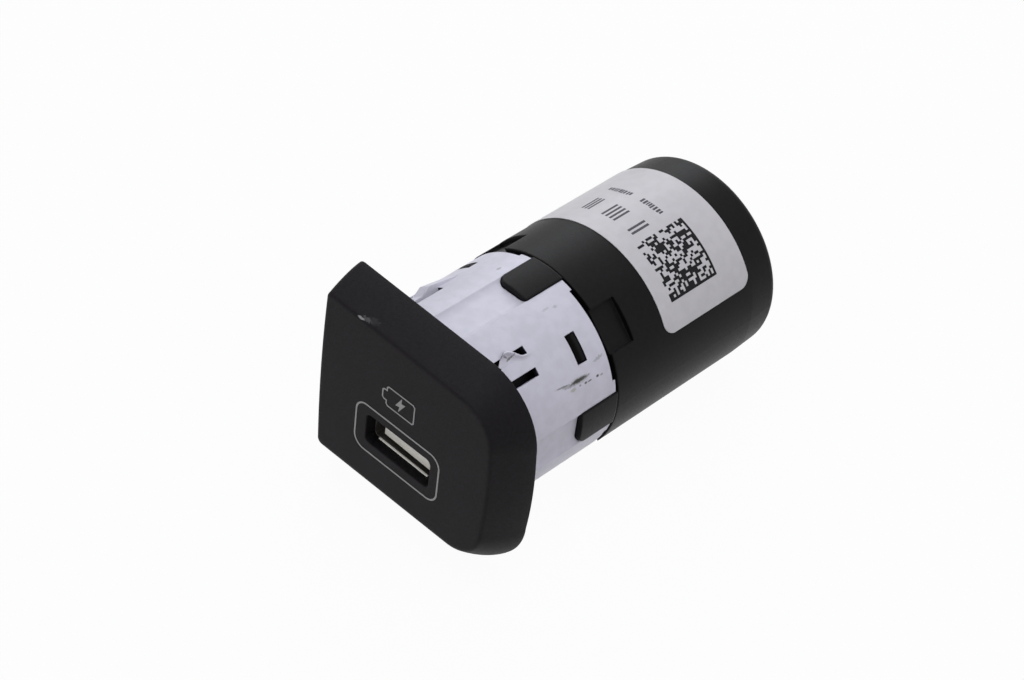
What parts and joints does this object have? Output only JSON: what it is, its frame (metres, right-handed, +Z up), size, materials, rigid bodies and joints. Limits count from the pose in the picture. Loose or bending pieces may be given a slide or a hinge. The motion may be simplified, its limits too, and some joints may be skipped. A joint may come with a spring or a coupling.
{
  "type": "car usb socket",
  "caption": "Round push-in car USB charging socket with a D-shaped bezel, a slotted snap-fit mounting sleeve and a cylindrical housing with a rear connector.",
  "frame": {"origin": "the point where the round body's axis meets the plane of the bezel's face", "axes": "+Y runs back along the body's axis from the face to the rear connector, +Z is up as the socket sits in the panel, and +X is to the right as seen from the front"},
  "size_m": [0.0368, 0.0635, 0.036],
  "materials": {
    "bezel_plastic": "fine spark-eroded grain, satin matte",
    "sleeve_plastic": "smooth moulded, satin",
    "housing_plastic": "fine moulded grain, satin",
    "label_stock": "satin film",
    "shell_steel": "nickel plated sheet",
    "insulator_plastic": "smooth moulded",
    "contact_gold": "gold flash on spring bronze",
    "board_laminate": "green solder mask",
    "chip_epoxy": "moulded epoxy",
    "ferrite": "sintered ferrite",
    "capacitor_can": "drawn can",
    "ceramic": "fired ceramic",
    "fuse_body": "moulded, satin",
    "header_plastic": "glass filled nylon, matte",
    "pin_tin": "bright tin plate"
  },
  "bodies": {
    "root": {"front_bezel": "bezel_plastic", "mounting_sleeve": "sleeve_plastic", "front_housing": "housing_plastic", "rear_housing": "housing_plastic", "rating_label": "label_stock", "usb_shell": "shell_steel", "usb_insulator": "insulator_plastic", "usb_contact_1": "contact_gold", "usb_contact_2": "contact_gold", "usb_contact_3": "contact_gold", "usb_contact_4": "contact_gold", "main_board": "board_laminate", "controller_chip": "chip_epoxy", "power_inductor": "ferrite", "input_capacitor": "capacitor_can", "output_capacitor": "capacitor_can", "ceramic_capacitors": "ceramic", "chip_resistors": "chip_epoxy", "rectifier_diode": "chip_epoxy", "input_fuse": "fuse_body", "connector_header": "header_plastic", "terminal_pin_1": "pin_tin", "terminal_pin_2": "pin_tin", "terminal_pin_3": "pin_tin", "terminal_pin_4": "pin_tin"}
  },
  "joints": []
}
